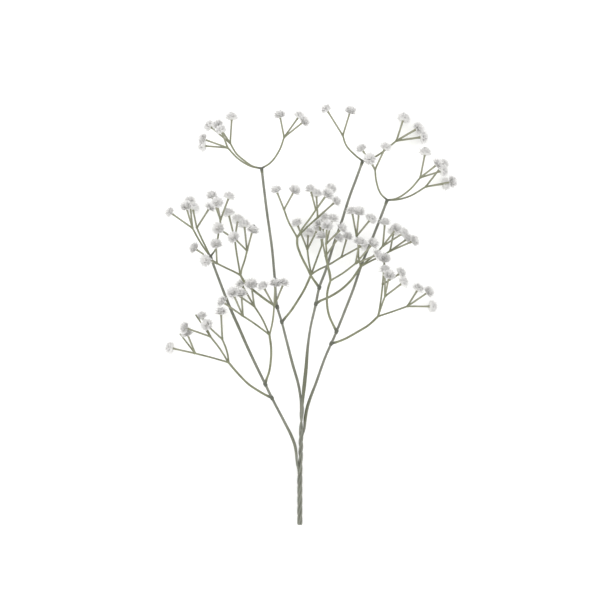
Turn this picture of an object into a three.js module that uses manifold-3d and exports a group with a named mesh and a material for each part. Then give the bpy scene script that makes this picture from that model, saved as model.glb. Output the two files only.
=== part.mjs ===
// An artificial gypsophila stem, cut and laid down on a surface.
// Four coated wires are twisted into one rope at the cut end and part further up. Each wire carries
// three moulded sprays: two clipped round it by a collar, and one pushed over its tip.
// A spray divides into forks, and each fork into thin stalks with one small white bloom on each.
// Millimetres, +Z up. The cut end points along -Y and the crown spreads along +Y. The origin lies on
// the surface under the middle of the stem.

import * as THREE from 'three';
import { mergeVertices } from 'three/addons/utils/BufferGeometryUtils.js';
import Module from 'manifold-3d';

const wasm = await Module();
wasm.setup();

// Driving dimensions
const LENGTH = 560; // cut end to the outermost petal
const SQUARES = 420; // squares of the drawing grid along that length
const GRID = LENGTH / SQUARES; // side of one square: every route below is drawn on this grid
const GAP = 0.3; // between a collar and the wire that it grips
const MIDDLE = { x: 15.2, y: 279.5 }; // of the whole stem, from the cut end: the part's origin

const STRAND_RADIUS = 1.5; // steel wire in its plastic coating, pressed together in the rope
const WIRE_RADIUS = 1.65; // the same wire where it is free
const WIRE_SIDES = 6;
const STRAND_STEP = 36; // degrees that a strand turns between two of its rings, at most
const PLACES_TRIED = 1000; // along a wire, to find the one nearest to a seat

const COLLAR_RADIUS = 2.75;
const COLLAR_END = 0.9; // radius at either end of a collar, as a share of its middle
const COLLAR_LENGTH = 6;
const COLLAR_SIDES = 8;
const SOCKET_DEPTH = 5; // how far a wire's tip reaches into the spray on it
const SOCKET_TOP = 2.5; // plastic beyond that tip

const TWIG_RADIUS = 1.45;
const TWIG_SIDES = 6;
const BRANCH_RADIUS = 1.2;
const BRANCH_SIDES = 5;
const STALK_RADIUS = 0.95;
const TIP_RADIUS = 0.85; // of a bare stalk, at its end

const PETALS = 5; // in each layer
const GOLDEN_TURN = 2.4; // radians from bloom to bloom, so that no two look alike
const BLOOM_RADIUS = 7.3;
const CALYX_LENGTH = 6.5;
const CALYX_RADIUS = 1.4;
const CALYX_TOP = 0.6; // how far below the bloom's base the calyx is widest
const BLOOM_HEART = 3.8; // from the bloom's base up to the middle of its height

// The rings of a bloom's core, from its base up, and the petal tips of each layer above a ring.
const CORE_RINGS = [
  { radius: 2.2, height: 0.3 },
  { radius: 3.1, height: 2.8 },
  { radius: 2.5, height: 5.4 },
];
const PETAL_TIPS = [
  { radius: BLOOM_RADIUS, height: 2.2 },
  { radius: 6.1, height: 5.9 },
  { radius: 3, height: 9.3 },
];
const CORE_TOP = 6.2;

// The routes, in grid squares: x across, y from the cut end to the crown, z above the surface.
const ROPE_AXIS = [
  [0, 0, 2.6], [0, 24, 2.6], [0, 44, 3.8], [0.2, 56, 5.2], [0.8, 66, 6.9], [1.1, 78, 9],
  [1.3, 90, 11.2], [1.3, 98, 12.6], [1.8, 110, 15], [2.6, 120, 17],
];

// The rope has four strands at first, then three, then two. Each level gives the distance up the
// rope, in grid squares, and the distance from its axis to every strand there, in millimetres.
const ROPE_LEVELS = [
  { up: 0, offset: 2.48 }, { up: 53, offset: 2.48 }, { up: 66, offset: 1.98 },
  { up: 88, offset: 1.98 }, { up: 95, offset: 1.74 }, { up: 120, offset: 1.72 },
];

// At each level that a wire reaches, it has an angle round the rope's axis (0 is +X, 90 is up).
// Above its last level it follows its own route. A fourth number there is the wire's radius in
// millimetres, where its coating is thicker.
const WIRES = {
  wire_left: {
    angles: [666, 189],
    route: [
      [-2.6, 60, 7.6, 1.5], [-3.2, 65.5, 8.1, 1.65], [-3.7, 72.5, 8.5, 1.95], [-4.75, 78.5, 9, 2],
      [-8.5, 89, 10.5, 2.05], [-15, 102, 12.5, 1.85], [-28, 127, 16.5], [-34.5, 140.5, 18.5, 1.8],
      [-51.5, 176, 23.5, 1.95], [-60.5, 196.5, 26, 2], [-70, 218, 28.5, 1.9], [-83.6, 253, 31, 1.7],
      [-89, 267.5, 32],
    ],
  },
  wire_inner: {
    angles: [756, 279, 138, -126, -189, -432],
    route: [
      [0.9, 126, 17.1], [-0.9, 138, 19.8, 1.85], [-7.5, 162, 25, 1.95], [-13, 183.5, 29.5],
      [-18, 203, 33, 1.55], [-22.5, 218, 34], [-25, 246.5, 36], [-27.5, 274.5, 40],
      [-33, 314.5, 45, 1.75], [-35.5, 334.5, 46], [-38, 355.5, 45],
    ],
  },
  wire_middle: {
    angles: [576, 99, 18, -246, -369, -612],
    route: [
      [3.3, 128, 20.6, 2.1], [4.4, 138.5, 22.2, 2.6], [5.9, 153, 25, 2.5], [8.6, 183.5, 30, 1.8],
      [10.7, 197.5, 32, 1.55], [15.7, 219.5, 34], [19.5, 237.5, 36], [25.5, 253.5, 38],
      [35, 284, 40], [40.5, 299.5, 41], [50.5, 330.5, 41], [56.5, 346.5, 40], [62.5, 363, 38],
    ],
  },
  wire_right: {
    angles: [486, 9, -102, -366],
    route: [
      [4.4, 95, 10, 1.6], [5.4, 106, 11.8, 2.25], [7.65, 118, 14, 2.15], [11.1, 128.5, 16, 2],
      [15, 138.5, 18, 1.85],
      [25.6, 168, 21.5], [35.3, 190, 24], [46, 216.5, 28], [53, 234.5, 30], [62, 261, 33],
      [72.5, 286.5, 36], [80, 305.5, 37.5], [87, 324, 38],
    ],
  },
};

// Each spray sits on its wire at seat, or on the wire's tip where it has none. Its twig runs to a
// hub, and from there each path runs to a fork, where the stalks of its blooms begin. Two forks also
// have a bare stalk, which has lost its bloom.
const SPRAYS = {
  spray_left_low: {
    wire: 'wire_left',
    seat: [-28, 127, 16.5],
    twig: [[-32.5, 129, 16], [-43, 135, 15.5], [-50.5, 140, 15], [-60.2, 149.4, 14], [-72.3, 163.4, 12.5]],
    forks: [
      {
        path: [[-90, 167.7, 10.5], [-105.8, 171.7, 9]],
        blooms: [[-130, 177, 3.8], [-113.2, 192.3, 18]],
        bare: [[-120.5, 191.4, 5]],
      },
      {
        path: [[-80, 176, 17], [-90, 189, 20]],
        blooms: [[-115.3, 197.5, 30], [-98.4, 208.8, 20]],
        bare: [[-104.3, 210.4, 28]],
      },
      {
        path: [[-72, 169, 12], [-73.5, 175, 11.5], [-78, 186.5, 10]],
        blooms: [[-79, 213, 12], [-93.2, 200.2, 34]],
      },
    ],
  },
  spray_left_mid: {
    wire: 'wire_left',
    seat: [-34.5, 140.5, 18.5],
    twig: [[-33.5, 145, 19.5], [-31, 152, 21.5], [-29, 164.5, 24], [-28.7, 177, 27], [-30.5, 191.5, 30.5]],
    forks: [
      {
        path: [[-37.8, 196, 33], [-47.6, 203.1, 36], [-57.5, 209.5, 38]],
        blooms: [[-77.5, 223.5, 42], [-67, 232.5, 52], [-58.3, 231.5, 42]],
      },
      {
        path: [[-37.5, 206, 26], [-46, 219.5, 22]],
        blooms: [[-65, 232, 14], [-58.5, 241, 20], [-48.5, 241, 38]],
      },
      {
        path: [[-28.5, 197, 33], [-26.8, 206, 37], [-25.5, 219.5, 42]],
        blooms: [[-36.5, 238.5, 40], [-24.5, 241.5, 49], [-16, 242, 43]],
      },
    ],
  },
  spray_left_top: {
    wire: 'wire_left',
    twig: [],
    forks: [
      {
        path: [[-97, 279, 35], [-103, 289, 38], [-107.5, 297.5, 40]],
        blooms: [[-129.5, 312.5, 40], [-113.5, 318.5, 50], [-110, 324, 36]],
      },
      {
        path: [[-94.5, 279, 27.5], [-98, 286, 23.5], [-103.5, 298, 16]],
        blooms: [[-107.5, 317.5, 3.8], [-90, 318, 18]],
      },
      {
        path: [[-83.5, 277, 34.5], [-82, 286, 37], [-79, 306, 42]],
        blooms: [[-88, 329.5, 46], [-82.5, 322, 60], [-70.5, 328.5, 38]],
      },
    ],
  },
  spray_inner_low: {
    wire: 'wire_inner',
    seat: [-18, 203, 33],
    twig: [[-15.5, 206, 32], [-9, 214, 30], [-2, 224.5, 28], [4, 234.5, 27], [12, 252, 25.5]],
    forks: [
      {
        path: [[9, 264, 20], [7.5, 276.5, 15]],
        blooms: [[-3, 302, 14], [8.5, 292, 7], [18, 296.5, 14]],
      },
      {
        path: [[17, 266, 24], [22.5, 281, 22]],
        blooms: [[24.5, 307, 16], [19.5, 302, 30]],
      },
      {
        path: [[20, 256, 26], [26.5, 259, 26], [42.5, 268.5, 22]],
        blooms: [[47.5, 288.5, 24], [63.5, 280, 12]],
      },
    ],
  },
  spray_inner_mid: {
    wire: 'wire_inner',
    seat: [-22.5, 218, 34],
    twig: [[-28.5, 221.5, 33], [-37, 227.5, 31.5], [-46, 234.5, 31], [-54.5, 242, 30.5], [-60, 251, 31]],
    forks: [
      {
        path: [[-66, 253.5, 33], [-73.5, 257, 36], [-83.5, 262, 38]],
        blooms: [[-105.5, 277, 46], [-94, 264.5, 60], [-83.5, 281, 48]],
      },
      {
        path: [[-63.2, 272.1, 26], [-65.3, 287.1, 24]],
        blooms: [[-71.5, 312, 18], [-62, 305.5, 12], [-81.5, 296.5, 45]],
      },
      {
        path: [[-58, 256, 32], [-55, 265, 35], [-52.5, 275, 38]],
        blooms: [[-55.5, 300.5, 30], [-47, 295, 44], [-66, 287.5, 54]],
      },
    ],
  },
  spray_inner_top: {
    wire: 'wire_inner',
    twig: [],
    forks: [
      {
        path: [[-46.7, 357.8, 45.6], [-60.3, 365.1, 47.5], [-72.5, 377.5, 48]],
        blooms: [[-96.5, 385.5, 54], [-96.5, 379, 40], [-78.5, 394.5, 44]],
      },
      {
        path: [[-46.8, 358.5, 42.5], [-55.4, 364.3, 38], [-63.3, 371.3, 33], [-70, 382.5, 30]],
        blooms: [[-68, 408, 24], [-90.5, 399.5, 20], [-82, 400.5, 34]],
      },
      {
        path: [[-29.7, 361.6, 47.5], [-20, 375, 51], [-15.3, 388, 54]],
        blooms: [[-20, 409.5, 60], [-0.5, 408.5, 50], [4.5, 403, 64]],
      },
    ],
  },
  spray_middle_low: {
    wire: 'wire_middle',
    seat: [16.5, 221.5, 34.2],
    twig: [[18.5, 223, 34.5], [30.3, 228.5, 36], [40.7, 235, 37.5], [51, 244.5, 39], [61.5, 259.5, 41]],
    forks: [
      {
        path: [[58.5, 269, 44], [58.5, 277, 47], [56.5, 289.5, 50]],
        blooms: [[52, 313.5, 50], [59, 313, 60], [71, 306, 44]],
      },
      {
        path: [[66, 263, 42], [74.5, 270, 43], [83.5, 279.5, 44]],
        blooms: [[85, 302.5, 44], [96.5, 296.5, 54], [103.5, 292, 38]],
      },
      {
        path: [[70, 263.5, 38.5], [86.5, 271.5, 35], [91, 274.5, 34]],
        blooms: [[94, 293.5, 26], [108, 286.5, 30], [114.4, 284.3, 42]],
      },
    ],
  },
  spray_middle_mid: {
    wire: 'wire_middle',
    seat: [19.5, 237.5, 36],
    twig: [
      [15.3, 243.2, 38], [11.5, 248.8, 40], [7.5, 257, 43], [0.7, 270.5, 46.5], [-2.5, 280.5, 49],
      [-2.5, 288.5, 51],
    ],
    forks: [
      {
        path: [[-7, 295, 53], [-11, 302.5, 55], [-16, 316, 58]],
        blooms: [[-23.5, 334.5, 60], [-5, 334.5, 68]],
      },
      {
        path: [[2.5, 296, 54], [10, 306, 58], [16.5, 315.5, 62]],
        blooms: [[10.5, 335.5, 62], [27.5, 330.5, 72], [31, 336.5, 56]],
      },
      {
        path: [[5, 295.5, 50], [18.5, 308, 46]],
        blooms: [[16.5, 331, 40], [36, 323.5, 46]],
      },
    ],
  },
  spray_middle_top: {
    wire: 'wire_middle',
    twig: [],
    forks: [
      {
        path: [[55.3, 369.6, 41], [46, 380, 44.5], [42.7, 390, 46]],
        blooms: [[26.5, 415.5, 44], [50.5, 413.8, 54]],
      },
      {
        path: [[69, 365, 38], [79.6, 370.8, 36], [97.5, 385, 32]],
        blooms: [[104, 407, 26], [118.5, 397, 40], [123.2, 388.3, 26]],
      },
      {
        path: [[68.5, 364.5, 33], [79.6, 370.8, 24], [97.4, 385, 12]],
        blooms: [[104.3, 407.4, 3.8], [118.8, 397.4, 3.8], [123.2, 388.4, 7]],
      },
    ],
  },
  spray_right_low: {
    wire: 'wire_right',
    seat: [31.8, 182, 23],
    twig: [[35, 182.3, 22.9], [44.7, 185.9, 22.5], [57.3, 192.8, 22], [69, 200, 21], [79.3, 209.5, 20]],
    forks: [
      {
        path: [[89.3, 212.2, 17.5], [108.7, 219, 12]],
        blooms: [[119, 236.5, 10], [129.5, 233.5, 22], [132.7, 218.5, 3.3]],
      },
      {
        path: [[81, 217, 28], [85.2, 229.2, 44]],
        blooms: [[103.3, 242.5, 40], [89.3, 250, 56], [85, 255, 44]],
      },
      {
        path: [[80.7, 221.5, 24], [83, 241.5, 30]],
        blooms: [[84.7, 266.6, 44], [101.3, 252.2, 26]],
      },
    ],
  },
  spray_right_mid: {
    wire: 'wire_right',
    seat: [36.5, 194, 24.5],
    twig: [[34, 199, 27], [29.5, 209, 33], [27.5, 218.5, 38.5], [28, 235.5, 45], [31, 245.5, 48]],
    forks: [
      {
        path: [[41, 250.5, 50], [56.4, 262, 52]],
        blooms: [[59.5, 283, 56], [73, 281.5, 60], [77, 270, 50]],
      },
      {
        path: [[30.5, 250, 50], [28, 260, 54], [26, 281.5, 60]],
        blooms: [[42, 296.5, 62], [32.5, 306, 58], [27, 299, 72]],
      },
      {
        path: [[28, 258, 47], [25.5, 269.5, 46]],
        blooms: [[38.5, 287, 48], [21.5, 289, 50]],
      },
    ],
  },
  spray_right_top: {
    wire: 'wire_right',
    twig: [],
    forks: [
      {
        path: [[81.1, 330.8, 41], [76.3, 344, 45], [75, 356, 48]],
        blooms: [[61.5, 376, 50], [69.5, 365.5, 70], [85.5, 377.5, 44]],
      },
      {
        path: [[95.2, 326, 37], [109, 334.5, 35.5], [121, 348, 34]],
        blooms: [[125.5, 372.5, 28], [138, 361, 40], [143, 354.5, 26]],
      },
      {
        path: [[96, 325.2, 31.5], [110, 329, 22], [127, 339, 12]],
        blooms: [[144, 361.5, 14], [146.3, 341.8, 3.8], [152.8, 343.5, 24]],
      },
    ],
  },
};

// Solids

const place = ([x, y, z]) => new THREE.Vector3(x, y, z).multiplyScalar(GRID);

const along = (point, direction, distance) => point.clone().addScaledVector(direction, distance);

const towards = (from, to) => to.clone().sub(from).normalize();

function polyline(points) {
  const path = new THREE.CurvePath();
  for (let i = 1; i < points.length; i += 1) {
    path.add(new THREE.LineCurve3(points[i - 1], points[i]));
  }
  return path;
}

function solid(geometry) {
  geometry.deleteAttribute('normal');
  geometry.deleteAttribute('uv');
  const merged = mergeVertices(geometry);
  return new wasm.Manifold(new wasm.Mesh({
    numProp: 3,
    vertProperties: new Float32Array(merged.attributes.position.array),
    triVerts: new Uint32Array(merged.index.array),
  }));
}

function mesh(body, name, material) {
  const { vertProperties, triVerts } = body.getMesh();
  const geometry = new THREE.BufferGeometry();
  geometry.setAttribute('position', new THREE.BufferAttribute(vertProperties, 3));
  geometry.setIndex(new THREE.BufferAttribute(triVerts, 1));
  geometry.computeVertexNormals();
  const result = new THREE.Mesh(geometry, material);
  result.name = name;
  return result;
}

// At each point of a path: its tangent, and two directions square to it that turn as little as
// they can from point to point.
function pathFrames(points) {
  const start = towards(points[0], points[1]);
  let side = new THREE.Vector3(0, 0, 1).cross(start).normalize();
  return points.map((point, i) => {
    const tangent = towards(points[Math.max(i - 1, 0)], points[Math.min(i + 1, points.length - 1)]);
    side = side.clone().addScaledVector(tangent, -side.dot(tangent)).normalize();
    return { point, tangent, side, up: tangent.clone().cross(side) };
  });
}

// A closed round rod through a list of points, with a radius at each: a unit cylinder with each of
// its rings moved on to a point.
function rod(points, radii, sides) {
  const spans = points.length - 1;
  const frames = pathFrames(points);
  const geometry = new THREE.CylinderGeometry(1, 1, 1, sides, spans);
  const position = geometry.attributes.position;
  const vertex = new THREE.Vector3();
  for (let i = 0; i < position.count; i += 1) {
    vertex.fromBufferAttribute(position, i);
    const step = Math.round((vertex.y + 0.5) * spans);
    const { point, side, up } = frames[step];
    const moved = point.clone()
      .addScaledVector(up, vertex.x * radii[step])
      .addScaledVector(side, vertex.z * radii[step]);
    position.setXYZ(i, moved.x, moved.y, moved.z);
  }
  return solid(geometry);
}

// Wires

// One wire's way up the rope, in even steps of its angle between the levels.
function strandPoints(angles) {
  const axis = polyline(ROPE_AXIS.map(place));
  const ropeTop = ROPE_LEVELS.at(-1).up;
  const spot = (level, angle) => {
    const share = level.up / ropeTop;
    const tangent = axis.getTangentAt(share);
    const side = tangent.clone().cross(new THREE.Vector3(0, 0, 1)).normalize();
    const above = side.clone().cross(tangent);
    const turn = THREE.MathUtils.degToRad(angle);
    return axis.getPointAt(share)
      .addScaledVector(side, level.offset * Math.cos(turn))
      .addScaledVector(above, level.offset * Math.sin(turn));
  };
  const points = [spot(ROPE_LEVELS[0], angles[0])];
  for (let k = 1; k < angles.length; k += 1) {
    const steps = Math.ceil((angles[k - 1] - angles[k]) / STRAND_STEP);
    for (let i = 1; i <= steps; i += 1) {
      const between = (from, to) => THREE.MathUtils.lerp(from, to, i / steps);
      const level = {
        up: between(ROPE_LEVELS[k - 1].up, ROPE_LEVELS[k].up),
        offset: between(ROPE_LEVELS[k - 1].offset, ROPE_LEVELS[k].offset),
      };
      points.push(spot(level, between(angles[k - 1], angles[k])));
    }
  }
  return points;
}

// A wire's points from the cut end to its tip, and its radius at each.
function wirePath({ angles, route }) {
  const strand = strandPoints(angles);
  return {
    points: [...strand, ...route.map(place)],
    radii: [
      ...strand.map(() => STRAND_RADIUS),
      ...route.map(([, , , radius = WIRE_RADIUS]) => radius),
    ],
  };
}

// The place on a path that lies nearest to a target, and the path's direction there.
function nearestOn(points, target) {
  const spots = polyline(points).getSpacedPoints(PLACES_TRIED);
  const distances = spots.map((spot) => spot.distanceTo(target));
  const best = distances.indexOf(Math.min(...distances));
  return { centre: spots[best], tangent: towards(spots[best - 1], spots[best + 1]) };
}

// Blooms

// A stalk with its bloom, as one closed skin: rings of points climb from the stalk's root over the
// calyx to the core, and between the core's rings each patch is pulled out to a petal's tip.
function bloom(root, heart, turn) {
  const axis = towards(root, heart);
  const base = along(heart, axis, -BLOOM_HEART);
  const upright = new THREE.Quaternion().setFromUnitVectors(new THREE.Vector3(0, 1, 0), axis);
  const reach = base.distanceTo(root);
  const rings = [
    { radius: STALK_RADIUS, height: -reach, shift: 0 },
    { radius: STALK_RADIUS, height: -CALYX_LENGTH, shift: 0 },
    { radius: CALYX_RADIUS, height: -CALYX_TOP, shift: 0 },
    ...CORE_RINGS.map((ring, i) => ({ ...ring, shift: i / 2 })),
  ];
  const positions = [];
  const faces = [];
  const addPoint = (radius, height, step) => {
    const angle = turn + (2 * Math.PI * step) / PETALS;
    const local = new THREE.Vector3(radius * Math.cos(angle), height, -radius * Math.sin(angle));
    positions.push(...local.applyQuaternion(upright).add(base).toArray());
    return positions.length / 3 - 1;
  };
  const ids = rings.map(({ radius, height, shift }) => (
    Array.from({ length: PETALS }, (_, j) => addPoint(radius, height, j + shift))));
  const rootCentre = addPoint(0, -reach, 0);
  const topCentre = addPoint(0, CORE_TOP, 0);
  const petal = (layer, j, patch) => {
    const { radius, height } = PETAL_TIPS[layer];
    const tip = addPoint(radius, height, j + layer / 2 + (patch.length === 4 ? 0.75 : 0.5));
    patch.forEach((corner, n) => faces.push(corner, patch[(n + 1) % patch.length], tip));
  };
  const firstLayer = rings.length - CORE_RINGS.length;
  for (let j = 0; j < PETALS; j += 1) {
    const next = (j + 1) % PETALS;
    faces.push(rootCentre, ids[0][next], ids[0][j]);
    for (let k = 1; k < rings.length; k += 1) {
      const patch = [ids[k - 1][j], ids[k - 1][next], ids[k][next], ids[k][j]];
      if (k <= firstLayer) {
        faces.push(patch[0], patch[1], patch[2], patch[0], patch[2], patch[3]);
      } else {
        petal(k - firstLayer - 1, j, patch);
      }
    }
    petal(PETAL_TIPS.length - 1, j, [ids.at(-1)[j], ids.at(-1)[next], topCentre]);
  }
  const geometry = new THREE.BufferGeometry();
  geometry.setAttribute('position', new THREE.Float32BufferAttribute(positions, 3));
  geometry.setIndex(faces);
  return solid(geometry);
}

// Sprays

function forkBodies(start, { path, blooms, bare = [] }, number) {
  const points = [start, ...path.map(place)];
  const end = points.at(-1);
  const root = along(end, towards(points.at(-2), end), -BRANCH_RADIUS);
  const bodies = [rod(points, points.map(() => BRANCH_RADIUS), BRANCH_SIDES)];
  blooms.forEach((heart, i) => {
    bodies.push(bloom(root, place(heart), GOLDEN_TURN * (number * 3 + i)));
  });
  bare.forEach((tip) => {
    bodies.push(rod([root, place(tip)], [STALK_RADIUS, TIP_RADIUS], BRANCH_SIDES));
  });
  return bodies;
}

// The collar round the wire, or the socket over its tip, and the point where the twig starts.
function seatOnWire(wire, seat) {
  const tip = { centre: wire.at(-1), tangent: towards(wire.at(-2), wire.at(-1)) };
  const { centre, tangent } = seat ? nearestOn(wire, place(seat)) : tip;
  const below = seat ? COLLAR_LENGTH / 2 : SOCKET_DEPTH;
  const above = seat ? COLLAR_LENGTH / 2 : SOCKET_TOP;
  const points = [-below, -below / 3, above / 3, above].map((step) => along(centre, tangent, step));
  const radii = [COLLAR_END, 1, 1, COLLAR_END].map((share) => COLLAR_RADIUS * share);
  const start = seat ? centre : along(centre, tangent, above / 2);
  return { body: rod(points, radii, COLLAR_SIDES), start };
}

function sprayBody({ wire, seat, twig, forks }) {
  const { body, start } = seatOnWire(wirePaths[wire].points, seat);
  const twigPoints = [start, ...twig.map(place)];
  const hub = twigPoints.at(-1);
  const bodies = [body];
  let branchStart = hub;
  if (twig.length > 0) {
    bodies.push(rod(twigPoints, twigPoints.map(() => TWIG_RADIUS), TWIG_SIDES));
    branchStart = along(hub, towards(twigPoints.at(-2), hub), -TWIG_RADIUS);
  }
  forks.forEach((fork, i) => bodies.push(...forkBodies(branchStart, fork, i)));
  return bodies.reduce((joined, next) => joined.add(next)).subtract(clearances[wire]);
}

// Everything that reaches below the surface is cut flat, so the stem rests on small level spots.
const ABOVE_SURFACE = solid(new THREE.BoxGeometry(2000, 2000, 600).translate(0, 0, 300));

const wirePaths = {};
const clearances = {};
for (const [name, wire] of Object.entries(WIRES)) {
  const { points, radii } = wirePath(wire);
  const tip = points.at(-1);
  const longer = [...points.slice(0, -1), along(tip, towards(points.at(-2), tip), GAP)];
  wirePaths[name] = { points, radii };
  clearances[name] = rod(longer, radii.map((radius) => radius + GAP), WIRE_SIDES);
}

const coating = new THREE.MeshStandardMaterial({ color: 0x6b6d5e, roughness: 0.7, metalness: 0 });
const moulded = new THREE.MeshStandardMaterial({ color: 0xdad9d2, roughness: 0.75, metalness: 0 });

const stem = new THREE.Group();
for (const [name, { points, radii }] of Object.entries(wirePaths)) {
  stem.add(mesh(rod(points, radii, WIRE_SIDES).intersect(ABOVE_SURFACE), name, coating.clone()));
}
for (const [name, spray] of Object.entries(SPRAYS)) {
  stem.add(mesh(sprayBody(spray).intersect(ABOVE_SURFACE), name, moulded.clone()));
}

stem.position.set(-MIDDLE.x, -MIDDLE.y, 0);

export default stem;
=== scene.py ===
# %% [markdown]
# # An artificial gypsophila stem
# Gypsophila, or baby's breath, is sold as an artificial spray: four coated wires twisted together at
# the foot, twelve moulded plastic sprays on them, and a small white head pushed on to each stalk.
# The CAD model has the same pieces with few faces. This lesson gives each of them its fine surface and
# its finish, and never moves them. It starts by loading the imported model.

# %% Load the imported model
import math
import random

import bmesh
import bpy
from mathutils import Matrix, Vector
from mathutils.geometry import interpolate_bezier


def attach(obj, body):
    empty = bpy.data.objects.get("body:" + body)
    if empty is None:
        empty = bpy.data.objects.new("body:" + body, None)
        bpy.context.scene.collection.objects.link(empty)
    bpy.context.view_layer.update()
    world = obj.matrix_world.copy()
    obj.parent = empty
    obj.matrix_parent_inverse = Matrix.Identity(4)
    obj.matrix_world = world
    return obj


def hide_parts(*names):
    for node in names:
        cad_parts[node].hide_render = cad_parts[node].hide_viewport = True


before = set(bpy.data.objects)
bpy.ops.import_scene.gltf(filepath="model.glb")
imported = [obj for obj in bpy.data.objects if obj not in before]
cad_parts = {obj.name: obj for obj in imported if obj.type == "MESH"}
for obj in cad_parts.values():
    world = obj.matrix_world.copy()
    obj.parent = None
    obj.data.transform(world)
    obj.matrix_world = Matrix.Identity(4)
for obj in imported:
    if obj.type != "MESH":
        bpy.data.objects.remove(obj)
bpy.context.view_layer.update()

# %% [markdown]
# ## Where everything lies
# The stem was drawn on a grid of squares: x across, y from the cut end to the crown, and z
# above the surface. Blender works in metres, so one function turns a point of the grid into a place.
# The points stay few, because every line that is drawn through them is made smooth later on.

# %% The drawing grid
MM = 0.001
GRID = 560 / 420 * MM  # the stem is 560 mm long and 420 squares
MIDDLE = Vector((15.2, 279.5, 0)) * MM  # of the whole stem, from its cut end


def place(point):
    """A point of the drawing grid as a place in metres."""
    return Vector(point[:3]) * GRID - MIDDLE


# %% [markdown]
# ## The routes of the wires
# At the foot the four wires are twisted into a rope, and they leave it one after another. The rope is
# given by its axis and by levels: how far up each one is, and how far every wire lies from the axis
# there. A wire has an angle at each level that it reaches, and then a route of its own. A fourth number
# in a route is the wire's radius in millimetres, where its coating is thicker.

# %% The rope and the wires
ROPE_AXIS = [
    (0, 0, 2.6), (0, 24, 2.6), (0, 44, 3.8), (0.2, 56, 5.2), (0.8, 66, 6.9), (1.1, 78, 9),
    (1.3, 90, 11.2), (1.3, 98, 12.6), (1.8, 110, 15), (2.6, 120, 17),
]

ROPE_LEVELS = [(-0.6, 2.0), (53, 2.0), (66, 1.68), (88, 1.68), (95, 1.45), (120, 1.45)]

WIRES = {
    "wire_left": dict(
        angles=[666, 189],
        route=[
            (-2.6, 60, 7.6, 1.5), (-3.2, 65.5, 8.1, 1.65), (-3.7, 72.5, 8.5, 1.95), (-4.75, 78.5, 9, 2),
            (-8.5, 89, 10.5, 2.05), (-15, 102, 12.5, 1.85), (-28, 127, 16.5), (-34.5, 140.5, 18.5, 1.8),
            (-51.5, 176, 23.5, 1.95), (-60.5, 196.5, 26, 2), (-70, 218, 28.5, 1.9),
            (-83.6, 253, 31, 1.7), (-89, 267.5, 32),
        ],
    ),
    "wire_inner": dict(
        angles=[756, 279, 138, -126, -189, -432],
        route=[
            (0.9, 126, 17.1), (-0.9, 138, 19.8, 1.85), (-7.5, 162, 25, 1.95), (-13, 183.5, 29.5),
            (-18, 203, 33, 1.55), (-22.5, 218, 34), (-25, 246.5, 36), (-27.5, 274.5, 40),
            (-33, 314.5, 45, 1.75), (-35.5, 334.5, 46), (-38, 355.5, 45),
        ],
    ),
    "wire_middle": dict(
        angles=[576, 99, 18, -246, -369, -612],
        route=[
            (3.3, 128, 20.6, 2.1), (4.4, 138.5, 22.2, 2.6), (5.9, 153, 25, 2.5),
            (8.6, 183.5, 30, 1.8), (10.7, 197.5, 32, 1.55), (15.7, 219.5, 34), (19.5, 237.5, 36),
            (25.5, 253.5, 38), (35, 284, 40), (40.5, 299.5, 41), (50.5, 330.5, 41),
            (56.5, 346.5, 40), (62.5, 363, 38),
        ],
    ),
    "wire_right": dict(
        angles=[486, 9, -102, -366],
        route=[
            (4.4, 95, 10, 1.6), (5.4, 106, 11.8, 2.25), (7.65, 118, 14, 2.15), (11.1, 128.5, 16, 2),
            (15, 138.5, 18, 1.85), (25.6, 168, 21.5), (35.3, 190, 24), (46, 216.5, 28),
            (53, 234.5, 30), (62, 261, 33), (72.5, 286.5, 36), (80, 305.5, 37.5), (87, 324, 38),
        ],
    ),
}


# %% [markdown]
# ## The routes of the sprays
# Each spray grips a wire at its seat, or sits on the wire's tip where it has no seat. Its twig runs to
# a hub, and from there each path runs to a fork where thin stalks begin, one for each bloom. Two
# forks also have a bare stalk, which has lost the head at its end.

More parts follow.
